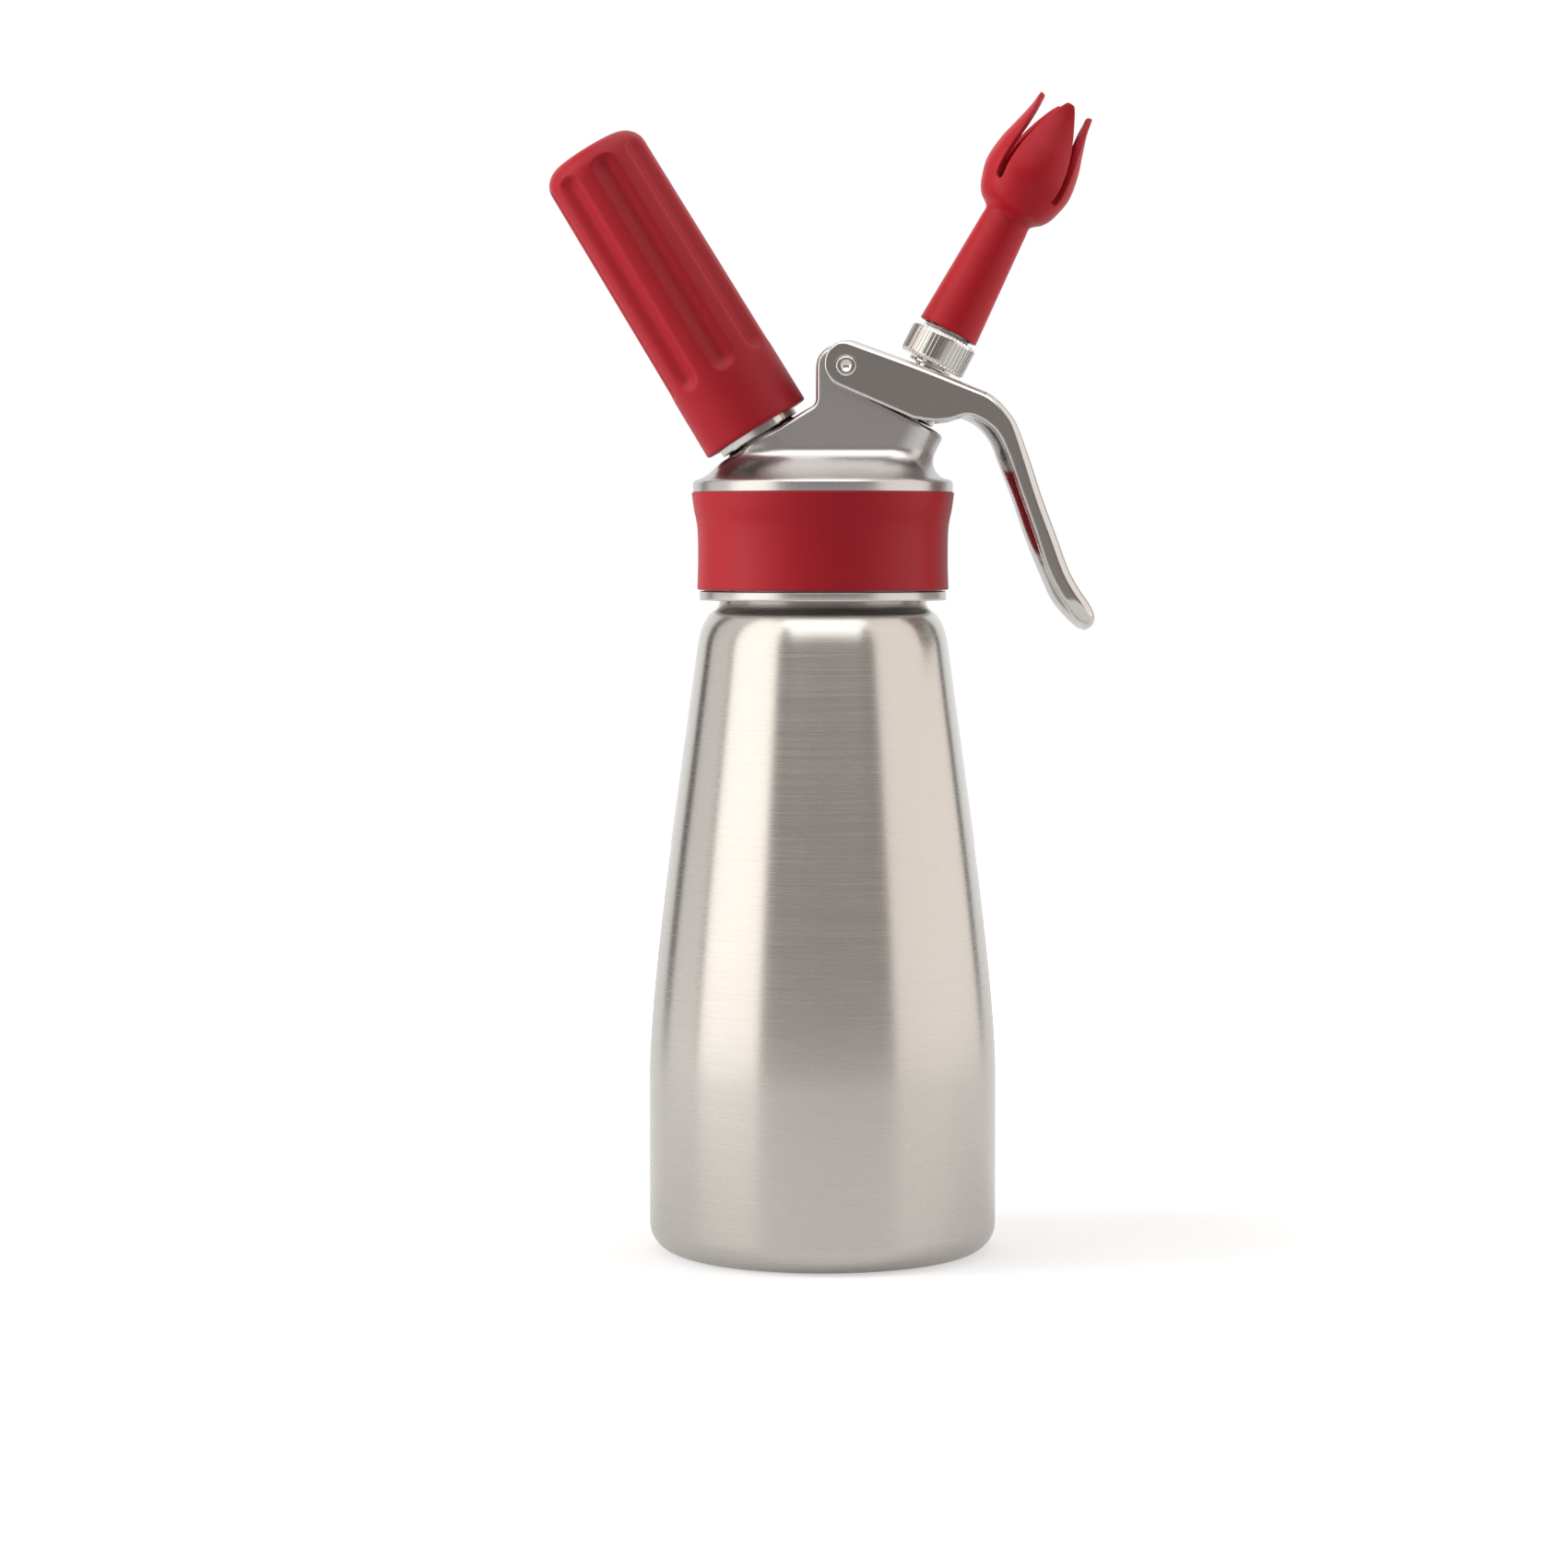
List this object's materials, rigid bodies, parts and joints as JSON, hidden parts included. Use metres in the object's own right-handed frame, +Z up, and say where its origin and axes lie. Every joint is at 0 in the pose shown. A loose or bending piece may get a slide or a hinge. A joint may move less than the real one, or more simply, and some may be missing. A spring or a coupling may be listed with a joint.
{
  "type": "whipped cream dispenser",
  "caption": "Steel bottle with a screw-on valve head, squeeze lever, slanted charger holder with a fluted silicone grip, heat collar and a tulip decorator tip.",
  "frame": {"origin": "centre of the bottle's base, on the plane that it stands on", "axes": "+Z up along the bottle, +X towards the lever and the tip, +Y to the back"},
  "size_m": [0.1312, 0.0842, 0.28],
  "materials": {
    "bottle_steel": "fine horizontal hairline brushing",
    "head_steel": "satin cast steel",
    "lever_steel": "satin cheeks, polished edges",
    "polished_steel": "polished",
    "adapter_steel": "fluted, polished",
    "charger_steel": "bright plated steel",
    "spring_steel": "drawn wire",
    "red_silicone": "matte",
    "red_plastic": "satin moulded",
    "pale_silicone": "matte",
    "pale_plastic": "moulded"
  },
  "bodies": {
    "bottle": {"bottle": "bottle_steel"},
    "gasket": {"head_gasket": "pale_silicone"},
    "head": {"head_body": "head_steel", "heat_collar": "red_silicone", "lever_pin": "lever_steel", "guide_bush": "pale_plastic", "rod_seal": "pale_silicone", "piston_spring": "spring_steel", "piercing_pin": "polished_steel", "charger_seal": "pale_silicone", "check_valve": "pale_silicone"},
    "lever": {"lever": "lever_steel"},
    "piston": {"piston_rod": "polished_steel", "spring_cup": "polished_steel", "retaining_ring": "spring_steel", "valve_seal": "pale_silicone"},
    "washer": {"adapter_washer": "polished_steel"},
    "adapter": {"tip_adapter": "adapter_steel"},
    "tip_ring": {"tip_seal": "pale_silicone"},
    "tip": {"tulip_tip": "red_plastic", "tip_thread_insert": "polished_steel"},
    "charger": {"gas_charger": "charger_steel"},
    "holder": {"charger_holder": "polished_steel", "charger_grip": "red_silicone"}
  },
  "joints": [
    {"name": "head_lift", "type": "slide", "parent": "bottle", "child": "gasket", "axis": [0, 0, 1], "range_m": [0, 0.009]},
    {"name": "head_unscrew", "type": "hinge", "parent": "gasket", "child": "head", "pos_m": [0, 0, 0.17], "axis": [0, 0, 1], "range_deg": [0, 1080]},
    {"name": "lever_squeeze", "type": "hinge", "parent": "head", "child": "lever", "pos_m": [0.0054, 0, 0.2139], "axis": [0, 1, 0], "range_deg": [0, 8], "stiffness_Nm_per_rad": 1.5, "springref_deg": -17.19},
    {"name": "piston_stroke", "type": "slide", "parent": "head", "child": "piston", "axis": [-0.4648, 0, -0.8854], "range_m": [0, 0.0026], "deforming": ["piston_spring"]},
    {"name": "adapter_lift", "type": "slide", "parent": "piston", "child": "washer", "axis": [0.4648, 0, 0.8854], "range_m": [0, 0.005]},
    {"name": "adapter_unscrew", "type": "hinge", "parent": "washer", "child": "adapter", "pos_m": [0.01955, 0, 0.2025], "axis": [0.4648, 0, 0.8854], "range_deg": [0, 1800]},
    {"name": "tip_lift", "type": "slide", "parent": "adapter", "child": "tip_ring", "axis": [0.4648, 0, 0.8854], "range_m": [0, 0.0075]},
    {"name": "tip_unscrew", "type": "hinge", "parent": "tip_ring", "child": "tip", "pos_m": [0.01955, 0, 0.2025], "axis": [0.4648, 0, 0.8854], "range_deg": [0, 2160]},
    {"name": "charger_lift", "type": "slide", "parent": "head", "child": "charger", "axis": [-0.521, 0, 0.8536], "range_m": [0, 0.016]},
    {"name": "holder_unscrew", "type": "hinge", "parent": "charger", "child": "holder", "pos_m": [-0.01476, 0, 0.19718], "axis": [-0.521, 0, 0.8536], "range_deg": [0, 2880]}
  ],
  "couplings": [
    {"joint": "head_unscrew", "follows": "head_lift", "rad_per_m": 2094.4},
    {"joint": "piston_stroke", "follows": "lever_squeeze", "m_per_rad": 0.01784},
    {"joint": "adapter_unscrew", "follows": "adapter_lift", "rad_per_m": 6283.2},
    {"joint": "tip_unscrew", "follows": "tip_lift", "rad_per_m": 5026.5},
    {"joint": "holder_unscrew", "follows": "charger_lift", "rad_per_m": 3141.6}
  ]
}
